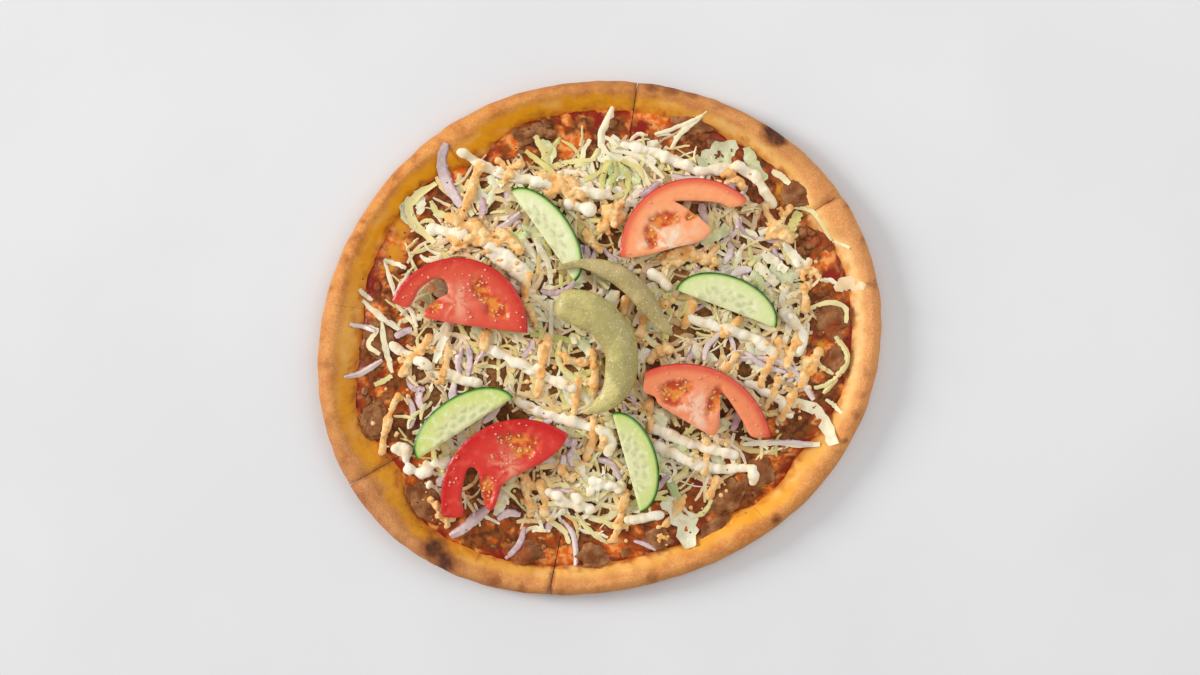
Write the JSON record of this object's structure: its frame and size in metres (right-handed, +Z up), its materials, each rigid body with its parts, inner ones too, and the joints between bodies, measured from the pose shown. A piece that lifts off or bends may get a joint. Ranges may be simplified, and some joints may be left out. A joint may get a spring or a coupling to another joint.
{
  "type": "kebab pizza",
  "caption": "Whole kebab pizza cut into slices, with sauce, cheese, kebab meat and a heap of cabbage salad, tomato, cucumber, pickled pepper and drizzled sauces.",
  "frame": {"origin": "Middle of the box that holds the pizza, on the underside of the crust, where it rests.", "axes": "+Z points up out of the toppings. +X runs along the pizza's longest extent and +Y points to the top of the view from above."},
  "size_m": [0.3011, 0.2748, 0.0292],
  "materials": {
    "baked_crust": "dry, floury, browned in spots",
    "sauce_and_cheese": "oily, uneven",
    "kebab_meat": "rough, moist",
    "cabbage_salad": "moist, fibrous",
    "tomato_flesh": "wet, smooth",
    "cucumber_flesh": "wet, smooth",
    "pickled_pepper": "wet, glossy"
  },
  "bodies": {
    "root": {"crust_1": "baked_crust", "crust_2": "baked_crust", "crust_3": "baked_crust", "crust_4": "baked_crust", "crust_5": "baked_crust", "crust_6": "baked_crust", "crust_7": "baked_crust", "crust_8": "baked_crust", "sauce_cheese_1": "sauce_and_cheese", "sauce_cheese_2": "sauce_and_cheese", "sauce_cheese_3": "sauce_and_cheese", "sauce_cheese_4": "sauce_and_cheese", "sauce_cheese_5": "sauce_and_cheese", "sauce_cheese_6": "sauce_and_cheese", "sauce_cheese_7": "sauce_and_cheese", "sauce_cheese_8": "sauce_and_cheese", "kebab_1": "kebab_meat", "kebab_2": "kebab_meat", "kebab_3": "kebab_meat", "kebab_4": "kebab_meat", "kebab_5": "kebab_meat", "kebab_6": "kebab_meat", "kebab_7": "kebab_meat", "kebab_8": "kebab_meat", "kebab_9": "kebab_meat", "kebab_10": "kebab_meat", "kebab_11": "kebab_meat", "kebab_12": "kebab_meat", "kebab_13": "kebab_meat", "kebab_14": "kebab_meat", "kebab_15": "kebab_meat", "salad": "cabbage_salad", "tomato_1": "tomato_flesh", "tomato_2": "tomato_flesh", "tomato_3": "tomato_flesh", "tomato_4": "tomato_flesh", "cucumber_1": "cucumber_flesh", "cucumber_2": "cucumber_flesh", "cucumber_3": "cucumber_flesh", "cucumber_4": "cucumber_flesh", "pepper_1": "pickled_pepper", "pepper_2": "pickled_pepper"}
  },
  "joints": []
}
